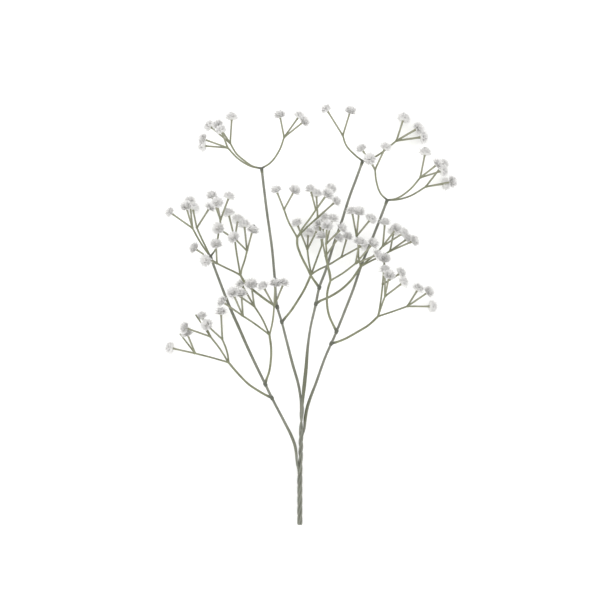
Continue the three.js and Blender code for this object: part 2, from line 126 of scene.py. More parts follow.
# %% The sprays
SPRAYS = {
    "spray_left_low": dict(
        wire="wire_left",
        seat=(-28, 127, 16.5),
        twig=[
            (-32.5, 129, 16), (-43, 135, 15.5), (-50.5, 140, 15), (-60.2, 149.4, 14),
            (-72.3, 163.4, 12.5),
        ],
        forks=[
            dict(
                path=[(-90, 167.7, 10.5), (-105.8, 171.7, 9)],
                blooms=[(-130, 177, 3.8), (-113.2, 192.3, 18)],
                bare=[(-120.5, 191.4, 5)],
            ),
            dict(
                path=[(-80, 176, 17), (-90, 189, 20)],
                blooms=[(-115.3, 197.5, 30), (-98.4, 208.8, 20)],
                bare=[(-104.3, 210.4, 28)],
            ),
            dict(
                path=[(-72, 169, 12), (-73.5, 175, 11.5), (-78, 186.5, 10)],
                blooms=[(-79, 213, 12), (-93.2, 200.2, 34)],
            ),
        ],
    ),
    "spray_left_mid": dict(
        wire="wire_left",
        seat=(-34.5, 140.5, 18.5),
        twig=[
            (-33.5, 145, 19.5), (-31, 152, 21.5), (-29, 164.5, 24), (-28.7, 177, 27),
            (-30.5, 191.5, 30.5),
        ],
        forks=[
            dict(
                path=[(-37.8, 196, 33), (-47.6, 203.1, 36), (-57.5, 209.5, 38)],
                blooms=[(-77.5, 223.5, 42), (-67, 232.5, 52), (-58.3, 231.5, 42)],
            ),
            dict(
                path=[(-37.5, 206, 26), (-46, 219.5, 22)],
                blooms=[(-65, 232, 14), (-58.5, 241, 20), (-48.5, 241, 38)],
            ),
            dict(
                path=[(-28.5, 197, 33), (-26.8, 206, 37), (-25.5, 219.5, 42)],
                blooms=[(-36.5, 238.5, 40), (-24.5, 241.5, 49), (-16, 242, 43)],
            ),
        ],
    ),
    "spray_left_top": dict(
        wire="wire_left",
        forks=[
            dict(
                path=[(-97, 279, 35), (-103, 289, 38), (-107.5, 297.5, 40)],
                blooms=[(-129.5, 312.5, 40), (-113.5, 318.5, 50), (-110, 324, 36)],
            ),
            dict(
                path=[(-94.5, 279, 27.5), (-98, 286, 23.5), (-103.5, 298, 16)],
                blooms=[(-107.5, 317.5, 3.8), (-90, 318, 18)],
            ),
            dict(
                path=[(-83.5, 277, 34.5), (-82, 286, 37), (-79, 306, 42)],
                blooms=[(-88, 329.5, 46), (-82.5, 322, 60), (-70.5, 328.5, 38)],
            ),
        ],
    ),
    "spray_inner_low": dict(
        wire="wire_inner",
        seat=(-18, 203, 33),
        twig=[(-15.5, 206, 32), (-9, 214, 30), (-2, 224.5, 28), (4, 234.5, 27), (12, 252, 25.5)],
        forks=[
            dict(
                path=[(9, 264, 20), (7.5, 276.5, 15)],
                blooms=[(-3, 302, 14), (8.5, 292, 7), (18, 296.5, 14)],
            ),
            dict(path=[(17, 266, 24), (22.5, 281, 22)], blooms=[(24.5, 307, 16), (19.5, 302, 30)]),
            dict(
                path=[(20, 256, 26), (26.5, 259, 26), (42.5, 268.5, 22)],
                blooms=[(47.5, 288.5, 24), (63.5, 280, 12)],
            ),
        ],
    ),
    "spray_inner_mid": dict(
        wire="wire_inner",
        seat=(-22.5, 218, 34),
        twig=[
            (-28.5, 221.5, 33), (-37, 227.5, 31.5), (-46, 234.5, 31), (-54.5, 242, 30.5),
            (-60, 251, 31),
        ],
        forks=[
            dict(
                path=[(-66, 253.5, 33), (-73.5, 257, 36), (-83.5, 262, 38)],
                blooms=[(-105.5, 277, 46), (-94, 264.5, 60), (-83.5, 281, 48)],
            ),
            dict(
                path=[(-63.2, 272.1, 26), (-65.3, 287.1, 24)],
                blooms=[(-71.5, 312, 18), (-62, 305.5, 12), (-81.5, 296.5, 45)],
            ),
            dict(
                path=[(-58, 256, 32), (-55, 265, 35), (-52.5, 275, 38)],
                blooms=[(-55.5, 300.5, 30), (-47, 295, 44), (-66, 287.5, 54)],
            ),
        ],
    ),
    "spray_inner_top": dict(
        wire="wire_inner",
        forks=[
            dict(
                path=[(-46.7, 357.8, 45.6), (-60.3, 365.1, 47.5), (-72.5, 377.5, 48)],
                blooms=[(-96.5, 385.5, 54), (-96.5, 379, 40), (-78.5, 394.5, 44)],
            ),
            dict(
                path=[(-46.8, 358.5, 42.5), (-55.4, 364.3, 38), (-63.3, 371.3, 33), (-70, 382.5, 30)],
                blooms=[(-68, 408, 24), (-90.5, 399.5, 20), (-82, 400.5, 34)],
            ),
            dict(
                path=[(-29.7, 361.6, 47.5), (-20, 375, 51), (-15.3, 388, 54)],
                blooms=[(-20, 409.5, 60), (-0.5, 408.5, 50), (4.5, 403, 64)],
            ),
        ],
    ),
    "spray_middle_low": dict(
        wire="wire_middle",
        seat=(16.5, 221.5, 34.2),
        twig=[
            (18.5, 223, 34.5), (30.3, 228.5, 36), (40.7, 235, 37.5), (51, 244.5, 39),
            (61.5, 259.5, 41),
        ],
        forks=[
            dict(
                path=[(58.5, 269, 44), (58.5, 277, 47), (56.5, 289.5, 50)],
                blooms=[(52, 313.5, 50), (59, 313, 60), (71, 306, 44)],
            ),
            dict(
                path=[(66, 263, 42), (74.5, 270, 43), (83.5, 279.5, 44)],
                blooms=[(85, 302.5, 44), (96.5, 296.5, 54), (103.5, 292, 38)],
            ),
            dict(
                path=[(70, 263.5, 38.5), (86.5, 271.5, 35), (91, 274.5, 34)],
                blooms=[(94, 293.5, 26), (108, 286.5, 30), (114.4, 284.3, 42)],
            ),
        ],
    ),
    "spray_middle_mid": dict(
        wire="wire_middle",
        seat=(19.5, 237.5, 36),
        twig=[
            (15.3, 243.2, 38), (11.5, 248.8, 40), (7.5, 257, 43), (0.7, 270.5, 46.5), (-2.5, 280.5, 49),
            (-2.5, 288.5, 51),
        ],
        forks=[
            dict(
                path=[(-7, 295, 53), (-11, 302.5, 55), (-16, 316, 58)],
                blooms=[(-23.5, 334.5, 60), (-5, 334.5, 68)],
            ),
            dict(
                path=[(2.5, 296, 54), (10, 306, 58), (16.5, 315.5, 62)],
                blooms=[(10.5, 335.5, 62), (27.5, 330.5, 72), (31, 336.5, 56)],
            ),
            dict(path=[(5, 295.5, 50), (18.5, 308, 46)], blooms=[(16.5, 331, 40), (36, 323.5, 46)]),
        ],
    ),
    "spray_middle_top": dict(
        wire="wire_middle",
        forks=[
            dict(
                path=[(55.3, 369.6, 41), (46, 380, 44.5), (42.7, 390, 46)],
                blooms=[(26.5, 415.5, 44), (50.5, 413.8, 54)],
            ),
            dict(
                path=[(69, 365, 38), (79.6, 370.8, 36), (97.5, 385, 32)],
                blooms=[(104, 407, 26), (118.5, 397, 40), (123.2, 388.3, 26)],
            ),
            dict(
                path=[(68.5, 364.5, 33), (79.6, 370.8, 24), (97.4, 385, 12)],
                blooms=[(104.3, 407.4, 3.8), (118.8, 397.4, 3.8), (123.2, 388.4, 7)],
            ),
        ],
    ),
    "spray_right_low": dict(
        wire="wire_right",
        seat=(31.8, 182, 23),
        twig=[(35, 182.3, 22.9), (44.7, 185.9, 22.5), (57.3, 192.8, 22), (69, 200, 21), (79.3, 209.5, 20)],
        forks=[
            dict(
                path=[(89.3, 212.2, 17.5), (108.7, 219, 12)],
                blooms=[(119, 236.5, 10), (129.5, 233.5, 22), (132.7, 218.5, 3.3)],
            ),
            dict(
                path=[(81, 217, 28), (85.2, 229.2, 44)],
                blooms=[(103.3, 242.5, 40), (89.3, 250, 56), (85, 255, 44)],
            ),
            dict(
                path=[(80.7, 221.5, 24), (83, 241.5, 30)],
                blooms=[(84.7, 266.6, 44), (101.3, 252.2, 26)],
            ),
        ],
    ),
    "spray_right_mid": dict(
        wire="wire_right",
        seat=(36.5, 194, 24.5),
        twig=[(34, 199, 27), (29.5, 209, 33), (27.5, 218.5, 38.5), (28, 235.5, 45), (31, 245.5, 48)],
        forks=[
            dict(
                path=[(41, 250.5, 50), (56.4, 262, 52)],
                blooms=[(59.5, 283, 56), (73, 281.5, 60), (77, 270, 50)],
            ),
            dict(
                path=[(30.5, 250, 50), (28, 260, 54), (26, 281.5, 60)],
                blooms=[(42, 296.5, 62), (32.5, 306, 58), (27, 299, 72)],
            ),
            dict(path=[(28, 258, 47), (25.5, 269.5, 46)], blooms=[(38.5, 287, 48), (21.5, 289, 50)]),
        ],
    ),
    "spray_right_top": dict(
        wire="wire_right",
        forks=[
            dict(
                path=[(81.1, 330.8, 41), (76.3, 344, 45), (75, 356, 48)],
                blooms=[(61.5, 376, 50), (69.5, 365.5, 70), (85.5, 377.5, 44)],
            ),
            dict(
                path=[(95.2, 326, 37), (109, 334.5, 35.5), (121, 348, 34)],
                blooms=[(125.5, 372.5, 28), (138, 361, 40), (143, 354.5, 26)],
            ),
            dict(
                path=[(96, 325.2, 31.5), (110, 329, 22), (127, 339, 12)],
                blooms=[(144, 361.5, 14), (146.3, 341.8, 3.8), (152.8, 343.5, 24)],
            ),
        ],
    ),
}

print("sprays:", len(SPRAYS), "blooms:", sum(
    len(fork["blooms"]) for spray in SPRAYS.values() for fork in spray["forks"]))

# %% [markdown]
# ## Smooth lines
# A wire bends in one sweep, so a line through its few points has to be smooth. A curve object would do
# that too, but here the rings of a rod are wanted, and Blender's own Bezier function gives them. Each
# stretch gets a handle at both ends, a third of its length long, so that it runs on without a kink.

# %% Draw a smooth line
def heading(before, here, after):
    """The direction of a smooth line as it passes a point, from the points on either side."""
    reach_in, reach_out = (here - before).length, (after - here).length
    way_in, way_out = (here - before) / reach_in, (after - here) / reach_out
    return (way_in * reach_out + way_out * reach_in).normalized()


def smooth_line(knots, step):
    """A smooth line through knots of (place, radius), with a ring about every step."""
    spots = [spot for spot, _ in knots]
    spots = [spots[0] * 2 - spots[1], *spots, spots[-1] * 2 - spots[-2]]
    line = [knots[0]]
    for i in range(len(knots) - 1):
        before, start, end, after = spots[i:i + 4]
        handle = (end - start).length / 3
        start_handle = start + heading(before, start, end) * handle
        end_handle = end - heading(start, end, after) * handle
        count = max(2, round((end - start).length / step))
        curve = interpolate_bezier(start, start_handle, end_handle, end, count + 1)
        for k in range(1, count + 1):
            radius = knots[i][1] + (knots[i + 1][1] - knots[i][1]) * k / count
            line.append((curve[k], radius))
    return line


# %% [markdown]
# ## Rods
# Wires, twigs and stalks are all round rods with a radius that changes on the way. The way to make one
# is to start from a disc, extrude it and move the new disc on to the next ring, over and over. The disc
# is turned only as much as the line turns, so that the rod isn't wrung. It leaves a hole at the start,
# which is filled, and then the rod is one closed body.

# %% Sweep a rod
UP = Vector((0, 0, 1))


def sweep(line, sides):
    """A closed round rod along a line of (place, radius) rings, and the cap at its start."""
    bm = bmesh.new()
    bmesh.ops.create_circle(bm, cap_ends=True, radius=1, segments=sides)
    cap = bm.faces[:][0]
    spots = [spot for spot, _ in line]
    turn = (spots[1] - spots[0]).to_track_quat("Z", "X")
    at = Matrix.Identity(4)
    for i, (spot, radius) in enumerate(line):
        ahead = (spots[min(i + 1, len(spots) - 1)] - spots[max(i - 1, 0)]).normalized()
        turn = (turn @ UP).rotation_difference(ahead) @ turn
        ring = Matrix.LocRotScale(spot, turn, Vector((radius, radius, radius)))
        if i > 0:
            cap = bmesh.ops.extrude_discrete_faces(bm, faces=[cap])["faces"][0]
        bmesh.ops.transform(bm, matrix=ring @ at.inverted(), verts=list(cap.verts))
        at = ring
    start_cap = bmesh.ops.holes_fill(bm, edges=bm.edges[:], sides=sides)["faces"][0]
    bmesh.ops.recalc_face_normals(bm, faces=bm.faces[:])
    return bm, start_cap


def lay_flat(verts):
    """Nothing reaches below the surface: what would is pressed flat on it."""
    for vert in verts:
        vert.co.z = max(vert.co.z, 0)


# %% [markdown]
# ## Finished pieces
# Every piece is made in a bmesh of its own and then handed to an object that sits at the origin. It
# rides on the one body of the stem, is given its materials, and stands for its CAD node. Round
# things are shaded smooth, and only edges sharper than an angle stay crisp.

# %% Hand over a piece
CRISP_ANGLE = math.radians(42)


def finished(mesh, name, node, materials, crisp=CRISP_ANGLE):
    """Make an object of a mesh, dress it and let it stand for its CAD node."""
    mesh.materials.clear()
    for material in materials:
        mesh.materials.append(material)
    mesh.shade_smooth()
    mesh.set_sharp_from_angle(angle=crisp)
    piece = bpy.data.objects.new(name, mesh)
    bpy.context.scene.collection.objects.link(piece)
    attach(piece, "root")
    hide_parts(node)
    return piece


def mesh_of(bm, name):
    """A bmesh as a mesh, with the bmesh freed."""
    mesh = bpy.data.meshes.new(name)
    bm.to_mesh(mesh)
    bm.free()
    return mesh


# %% [markdown]
# ## Colours and nodes
# Colours are written as sRGB hex values, the way that a colour picker shows them, and one function
# turns them into the linear values that a shader works with. A second function adds a node with its
# settings and links, and a few more stand for nodes that several materials have in common. Each
# material then reads as a short list. Patterns are sized by a real length.

# %% Helpers for materials
def linear(hex_colour):
    """An sRGB hex colour as linear RGBA."""
    channels = [int(hex_colour[i:i + 2], 16) / 255 for i in (1, 3, 5)]
    return [
        *(c / 12.92 if c <= 0.04045 else ((c + 0.055) / 1.055) ** 2.4 for c in channels), 1]


def per(size):
    """The scale of a pattern whose parts are about this size, in metres."""
    return 1 / size


def in_use(sockets, name=None):
    """The first socket that the node's settings have switched on, or the first of that name."""
    return next(socket for socket in sockets if socket.enabled and name in (None, socket.name))


def add(material, kind, inputs=None, **settings):
    """Add a node: settings are its own, and an input takes a value or another node's output."""
    node = material.node_tree.nodes.new(kind)
    for name, value in settings.items():
        setattr(node, name, value)
    for name, value in (inputs or {}).items():
        socket = in_use(node.inputs, name)
        if isinstance(value, bpy.types.NodeSocket):
            material.node_tree.links.new(value, socket)
        else:
            socket.default_value = value
    return node


def new_material(name):
    """An empty material, its shader joined to the output, and the place on the object."""
    material = bpy.data.materials.new(name)
    material.use_nodes = True
    material.node_tree.nodes.clear()
    shader = add(material, "ShaderNodeBsdfPrincipled")
    add(material, "ShaderNodeOutputMaterial", {"Surface": in_use(shader.outputs)})
    place_on_it = add(material, "ShaderNodeTexCoord").outputs["Object"]
    return material, shader, place_on_it


def wire_up(material, shader, **sockets):
    """Join outputs to the shader's sockets, whose spaces are written as underscores."""
    for name, output in sockets.items():
        material.node_tree.links.new(output, shader.inputs[name.replace("_", " ")])


# %% Helpers for patterns and tones
def noise(material, spot, size, detail, roughness=0.5):
    """A noise whose patches are about this size, in metres."""
    return add(material, "ShaderNodeTexNoise", {
        "Vector": spot, "Scale": per(size), "Detail": detail, "Roughness": roughness})


def two_tones(material, pattern, *tones):
    """Two colours over a pattern, each given with the value of the pattern where it stands."""
    ramp = add(material, "ShaderNodeValToRGB", {"Fac": in_use(pattern.outputs)})
    for element, (value, colour) in zip(ramp.color_ramp.elements, tones):
        element.position = value
        element.color = linear(colour)
    return ramp


def tinted(material, base, colour, factor):
    """The base with another colour mixed in, by a factor from 0 to 1."""
    return add(material, "ShaderNodeMix", {
        "Factor": factor, "A": in_use(base.outputs), "B": linear(colour)}, data_type="RGBA")


def told_by(material, name):
    """The value of an attribute that the mesh carries."""
    return add(material, "ShaderNodeAttribute", attribute_name=name).outputs["Fac"]


# %% [markdown]
# ## The coated wire
# Stem wire is annealed steel with a skin of soft PVC, run on by extrusion. The skin is matt and grey
# green, a little cloudy along its length because the pigment doesn't mix evenly, and it carries dust
# and rub marks. Two noises do it: wide clouds for the pigment and fine grain for the rub marks, which
# also lift and lower the surface by a hair. Where one wire's coating is thicker it is greener: the
# wire's own mesh says where, in an attribute.

# %% Material: extruded PVC on wire
def make_wire_coating():
    """Matt grey-green skin: pigment clouds, rub marks, and a greener tone where it is thick."""
    material, shader, spot = new_material("extruded_matt_pvc_on_wire")
    clouds = noise(material, spot, 14 * MM, detail=3.0, roughness=0.6)
    grain = noise(material, spot, 0.9 * MM, detail=4.0, roughness=0.65)
    tone = two_tones(material, clouds, (0.32, "#606257"), (0.7, "#7A7C70"))
    greener = tinted(material, tone, "#5A5D49", told_by(material, "thick"))
    marks = add(material, "ShaderNodeMapRange", {
        "Value": in_use(grain.outputs), "From Min": 0.55, "From Max": 0.8, "To Max": 0.35})
    rubbed = tinted(material, greener, "#87897F", in_use(marks.outputs))
    rough = add(material, "ShaderNodeMapRange", {
        "Value": in_use(clouds.outputs), "From Min": 0.3, "From Max": 0.7,
        "To Min": 0.5, "To Max": 0.66})
    relief = add(material, "ShaderNodeBump", {
        "Height": in_use(grain.outputs), "Distance": 0.04 * MM, "Strength": 0.6})
    wire_up(material, shader, Base_Color=in_use(rubbed.outputs),
            Roughness=in_use(rough.outputs), Normal=in_use(relief.outputs))
    shader.inputs["IOR"].default_value = 1.53
    return material


wire_coating = make_wire_coating()

# %% [markdown]
# ## The cut steel
# Where the stem is cut, each wire shows its steel core. Cutters shear it, which leaves a bright face
# with fine marks across it: a metal with a low, uneven roughness and a noise that is stretched one way.

# %% Material: sheared steel
def make_cut_steel():
    """Bright metal with fine shear marks."""
    material, shader, spot = new_material("sheared_mild_steel")
    stretched = add(material, "ShaderNodeMapping", {
        "Vector": spot, "Scale": (per(1.2 * MM), per(1.2 * MM), per(0.12 * MM))})
    marks = add(material, "ShaderNodeTexNoise", {
        "Vector": in_use(stretched.outputs), "Scale": 1.0, "Detail": 3.0})
    tone = two_tones(material, marks, (0, "#7B7A76"), (1, "#B4B3AF"))
    rough = add(material, "ShaderNodeMapRange", {
        "Value": in_use(marks.outputs), "To Min": 0.25, "To Max": 0.5})
    wire_up(material, shader, Base_Color=in_use(tone.outputs), Roughness=in_use(rough.outputs))
    shader.inputs["Metallic"].default_value = 1.0
    return material


cut_steel = make_cut_steel()

# %% [markdown]
# ## The rope
# In the rope each wire winds round the axis. Its way is a helix, so it isn't drawn by hand but worked
# out: at a share of the axis there is a place and a direction, and the wire lies at its angle and its
# distance from there. Between two levels angle, height and distance change in even steps.

# %% One wire's way up the rope
STRAND_STEP = 18  # degrees that a wire turns between two knots
STRAND_RADIUS = 1.4 * MM  # of a wire pressed into the rope
WIRE_RADIUS = 1.75 * MM  # of the same wire where it is free


def on_axis(share):
    """The place and the direction at a share of the rope's axis."""
    spots = [place(point) for point in ROPE_AXIS]
    lengths = [(b - a).length for a, b in zip(spots, spots[1:])]
    left = share * sum(lengths)
    for a, b, length in zip(spots, spots[1:], lengths):
        if left <= length:
            break
        left -= length
    return a.lerp(b, min(left / length, 1)), (b - a).normalized()


def on_strand(up, offset, angle):
    """The place of a wire in the rope."""
    centre, tangent = on_axis(up / ROPE_LEVELS[-1][0])
    side = tangent.cross(UP).normalized()
    above = side.cross(tangent)
    turn = math.radians(angle)
    return centre + (side * math.cos(turn) + above * math.sin(turn)) * offset * MM


def strand(angles):
    """The knots of one wire from the cut end to where it leaves the rope."""
    knots = [(on_strand(*ROPE_LEVELS[0], angles[0]), STRAND_RADIUS)]
    for k in range(1, len(angles)):
        (low, low_offset), (high, high_offset) = ROPE_LEVELS[k - 1:k + 1]
        steps = math.ceil((angles[k - 1] - angles[k]) / STRAND_STEP)
        for i in range(1, steps + 1):
            share = i / steps
            spot = on_strand(
                low + (high - low) * share, low_offset + (high_offset - low_offset) * share,
                angles[k - 1] + (angles[k] - angles[k - 1]) * share)
            knots.append((spot, STRAND_RADIUS))
    return knots


# %% [markdown]
# ## The wires
# Each wire is one rod from its cut end to its tip, with 20 sides, so that it looks round. The face at
# the cut end is inset, and the disc inside is the steel core. Each point of the mesh then gets the
# attribute that the coating reads: how much thicker than usual the wire is where it lies.

# %% Make the wires
WIRE_SIDES = 20
WIRE_STEP = 2.5 * MM  # from ring to ring
CORE_RADIUS = 0.8 * MM  # of the steel inside the coating
THICKEST = 2.2 * MM  # here the coating is as green as it gets


def wire_line(wire):
    """The smooth line of a wire, with its radius at each ring."""
    route = [
        (place(point), point[3] * MM if len(point) > 3 else WIRE_RADIUS) for point in wire["route"]]
    return smooth_line(strand(wire["angles"]) + route, WIRE_STEP)


def make_wire(name, line):
    """One finished wire: the rod, its steel core at the cut, and how thick its coating is where."""
    bm, start_cap = sweep(line, WIRE_SIDES)
    bmesh.ops.inset_individual(
        bm, faces=[start_cap], thickness=line[0][1] - CORE_RADIUS, use_even_offset=True)
    start_cap.material_index = 1
    lay_flat(bm.verts)
    mesh = mesh_of(bm, name)
    thick = mesh.attributes.new("thick", "FLOAT", "POINT")
    rings = [radius for _, radius in line for _ in range(WIRE_SIDES)]
    for i, radius in enumerate(rings):
        thick.data[i].value = min(max((radius - WIRE_RADIUS) / (THICKEST - WIRE_RADIUS), 0), 1)
    return finished(mesh, name + "_coated", name, [wire_coating, cut_steel])


WIRE_LINES = {name: wire_line(wire) for name, wire in WIRES.items()}
for name, line in WIRE_LINES.items():
    piece = make_wire(name, line)
    print(piece.name, "rings:", len(line), "faces:", len(piece.data.polygons))

# %% [markdown]
# ## The green plastic
# Twigs, branches and stalks of a spray are one moulding in polyethylene. It is softer and a little
# glossier than the wire's skin, and the pigment is a yellower green. Thin stalks let light through and
# look paler than the thick joints, and no light gets through the sleeve round the wire. The mould's
# walls leave a fine grain. So the material mixes two greens by a broad noise, and two attributes of
# the mesh pale them towards the blooms and darken them at the sleeve.

# %% Material: moulded green polyethylene
def make_stalk_plastic():
    """Satin sage green: clouds, paler along the stalks, darker at the sleeve, with a fine grain."""
    material, shader, spot = new_material("moulded_green_polyethylene")
    clouds = noise(material, spot, 11 * MM, detail=3.0, roughness=0.55)
    grain = noise(material, spot, 0.6 * MM, detail=3.0, roughness=0.6)
    tone = two_tones(material, clouds, (0.3, "#62654C"), (0.72, "#7D8065"))
    paler = tinted(material, tone, "#82836E", told_by(material, "fine"))
    darker = tinted(material, paler, "#4F5246", told_by(material, "joint"))
    rough = add(material, "ShaderNodeMapRange", {
        "Value": in_use(grain.outputs), "From Min": 0.3, "From Max": 0.7,
        "To Min": 0.42, "To Max": 0.6})
    relief = add(material, "ShaderNodeBump", {
        "Height": in_use(grain.outputs), "Distance": 0.03 * MM, "Strength": 0.5})
    wire_up(material, shader, Base_Color=in_use(darker.outputs),
            Roughness=in_use(rough.outputs), Normal=in_use(relief.outputs))
    shader.inputs["IOR"].default_value = 1.51
    return material


stalk_plastic = make_stalk_plastic()

# %% [markdown]
# ## Joining a spray
# A spray's rods have to become one moulding. Left as they are they would run through each other, with
# faces inside that nobody sees. A Boolean union on a collection joins them all at once, and a second
# Boolean takes the wire's own space out of the collar that grips it.

# %% Fuse closed bodies
def as_object(bm, name):
    """A bmesh as an object in the scene, for a modifier to work on."""
    made = bpy.data.objects.new(name, mesh_of(bm, name))
    bpy.context.scene.collection.objects.link(made)
    return made


def fused(bodies, name, taken_out=None):
    """The union of closed bodies as one mesh, less another body."""
    group = bpy.data.collections.new(name)
    bpy.context.scene.collection.children.link(group)
    first, *others = [as_object(bm, name) for bm in bodies]
    for other in others:
        bpy.context.scene.collection.objects.unlink(other)
        group.objects.link(other)
    union = first.modifiers.new("union", "BOOLEAN")
    union.operation = "UNION"
    union.solver = "MANIFOLD"
    union.operand_type = "COLLECTION"
    union.collection = group
    if taken_out:
        others.append(as_object(taken_out, name))
        cut = first.modifiers.new("cut", "BOOLEAN")
        cut.operation = "DIFFERENCE"
        cut.solver = "MANIFOLD"
        cut.object = others[-1]
    bpy.context.view_layer.update()
    graph = bpy.context.evaluated_depsgraph_get()
    mesh = bpy.data.meshes.new_from_object(first.evaluated_get(graph))
    for used in [first, *others]:
        bpy.data.meshes.remove(used.data)
    bpy.data.collections.remove(group)
    mesh.name = name
    return mesh


# %% [markdown]
# ## The shape of a stalk
# A stalk leaves its fork with a small flare, runs thin, and swells into the calyx, the green cup under
# the head. A thin pin goes on from there, inside the head that is pushed on it. Each ring is a distance
# from the cup, so that it fits a stalk of any length. A stalk that has lost its head ends bluntly.

# %% The profiles
BLOOM_HEART = 3.8 * MM  # from the head's base up to the middle of its height
STALK_RADIUS = 1.22 * MM
BRANCH_RADIUS = 1.2 * MM
TWIG_RADIUS = 1.55 * MM
FLARE = 0.35  # how much thicker a rod is where it leaves its fork
STALK_FLARE = 3 * MM  # the length over which that thickness runs out
STALK_STEP = 3 * MM  # from ring to ring
CALYX = [
    (-6.5, 1.22), (-5, 1.24), (-3.2, 1.3), (-1.6, 1.38), (-0.7, 1.52), (-0.15, 1.7), (0.1, 1.55),
    (0.12, 0.5), (2.5, 0.5), (4.4, 0.48), (4.5, 0.3),
]
BARE_TIP = [(-1.6, 0.9), (-1.2, 1.1), (-0.5, 1.1), (0, 0.65)]


def with_flare(line, length):
    """The same rings, thicker over a length from where the rod leaves its fork."""
    root = line[0][0]
    return [
        (spot, radius * (1 + FLARE * max(0, 1 - (spot - root).length / length)))
        for spot, radius in line]


def stalk_line(root, heart):
    """The rings of a stalk from its fork to the end of its pin."""
    axis = (heart - root).normalized()
    cup = heart - axis * BLOOM_HEART
    swell = cup + axis * CALYX[0][0] * MM
    rise = smooth_line([(root, STALK_RADIUS), (swell, STALK_RADIUS)], STALK_STEP)
    return with_flare(rise, STALK_FLARE) + [
        (cup + axis * height * MM, radius * MM) for height, radius in CALYX[1:]]


# %% [markdown]
# ## Collars and sockets
# A low or middle spray is held by a collar round the wire, and a top one by a socket over its tip.
# Both are short sleeves with rounded ends, drawn along the wire's own direction. They are given by
# their wall: each ring is a distance along the wire, and how far the sleeve stands proud there.

# %% The sleeve on the wire
COLLAR = [
    (-2.9, 0.1), (-2.7, 0.4), (-1.9, 0.7), (-0.8, 0.85), (0.8, 0.85), (1.9, 0.7), (2.7, 0.4),
    (2.9, 0.1),
]
SOCKET = [(-5, 0.1), (-4.8, 0.25), (-3, 0.35), (-1.2, 0.5), (0.6, 0.6), (1.8, 0.3), (2.5, -0.5)]
GRIP = 0.05 * MM  # between the sleeve's bore and the wire
SOCKET_ROOT = 1.2 * MM  # past the wire's tip, where a top spray grows out of its socket
SLEEVE_SIDES = 20


def seat_on_wire(line, seat):
    """The sleeve that sits on the wire, and the place where the spray grows out of it."""
    spots = [spot for spot, _ in line]
    if seat is None:
        near = len(spots) - 1
        tangent = (spots[-1] - spots[-2]).normalized()
        profile = SOCKET
        start = spots[-1] + tangent * SOCKET_ROOT
    else:
        near = min(range(1, len(spots) - 1), key=lambda i: (spots[i] - place(seat)).length)
        tangent = (spots[near + 1] - spots[near - 1]).normalized()
        profile = COLLAR
        start = spots[near]
    sleeve = [
        (spots[near] + tangent * step * MM, line[near][1] + wall * MM) for step, wall in profile]
    return sweep(sleeve, SLEEVE_SIDES)[0], start


# %% [markdown]
# ## The green part of each spray
# Now the rods come together: sleeve, twig, branches, a stalk for each bloom, and the two bare stalks.
# They are fused, the wire's space is taken out of the sleeve, and the two attributes are written from
# each point's distance to the nearest stalk and to the sleeve.

# %% Make the stalks of the sprays
ROD_SIDES = 12
LIMB_STEP = 3 * MM  # from ring to ring
TWIG_FLARE = 10 * MM  # longer than a stalk's
BRANCH_FLARE = 5 * MM


def limb(start, points, radius, flare):
    """A twig or a branch, and the place just inside its end where the next rods begin."""
    knots = [(start, radius)] + [(place(point), radius) for point in points]
    line = with_flare(smooth_line(knots, LIMB_STEP), flare)
    before, end = line[-2][0], line[-1][0]
    return sweep(line, ROD_SIDES)[0], end - (end - before).normalized() * radius


def fork_bodies(start, fork):
    """A branch with its stalks, and where they stand: a list of (fork, heart) places."""
    branch, root = limb(start, fork["path"], BRANCH_RADIUS, BRANCH_FLARE)
    bodies = [branch]
    stalks = [(root, place(heart)) for heart in fork["blooms"]]
    bodies += [sweep(stalk_line(*stalk), ROD_SIDES)[0] for stalk in stalks]
    for tip in fork.get("bare", []):
        axis = (place(tip) - root).normalized()
        rings = [(root, STALK_RADIUS)]
        rings += [(place(tip) + axis * height * MM, radius * MM) for height, radius in BARE_TIP]
        bodies.append(sweep(rings, ROD_SIDES)[0])
    return bodies, stalks


def make_stalks(name, spray):
    """One spray's green moulding, its stalks as (fork, heart) places, and where its sleeve sits."""
    line = WIRE_LINES[spray["wire"]]
    sleeve, start = seat_on_wire(line, spray.get("seat"))
    bodies, stalks = [sleeve], []
    hub = start
    if "twig" in spray:
        twig, hub = limb(start, spray["twig"], TWIG_RADIUS, TWIG_FLARE)
        bodies.append(twig)
    for fork in spray["forks"]:
        fork_rods, fork_stalks = fork_bodies(hub, fork)
        bodies += fork_rods
        stalks += fork_stalks
    bore = sweep([(spot, radius + GRIP) for spot, radius in line], WIRE_SIDES)[0]
    mesh = fused(bodies, name + "_stalks", bore)
    lay_flat(mesh.vertices)
    return mesh, stalks, start


# %% Write the attributes and finish the stalks
NEAR_STALK = 2.2 * MM  # a point this near to a stalk's middle line belongs to the stalk
FULLY_FINE = 0.4  # the share of its length after which a stalk is as pale as it gets
SLEEVE_REACH = 3.5 * MM  # from the seat to where the plastic starts to look lighter
SLEEVE_FADE = 4 * MM


def note_fine_parts(mesh, stalks):
    """Write how fine the moulding is at each point: 0 at the wire, 1 along the stalks."""
    fine = mesh.attributes.new("fine", "FLOAT", "POINT")
    for vert, value in zip(mesh.vertices, fine.data):
        for root, heart in stalks:
            axis = heart - root
            share = min(max((vert.co - root).dot(axis) / axis.length_squared, 0), 1)
            if (vert.co - root - axis * share).length < NEAR_STALK:
                value.value = max(value.value, min(1, share / FULLY_FINE))


def note_nearness(mesh, name, spot, reach, fade):
    """Write how near a spot each point lies: 1 within the reach, and 0 once the fade is over."""
    nearness = mesh.attributes.new(name, "FLOAT", "POINT")
    for vert, value in zip(mesh.vertices, nearness.data):
        value.value = min(max(1 - ((vert.co - spot).length - reach) / fade, 0), 1)


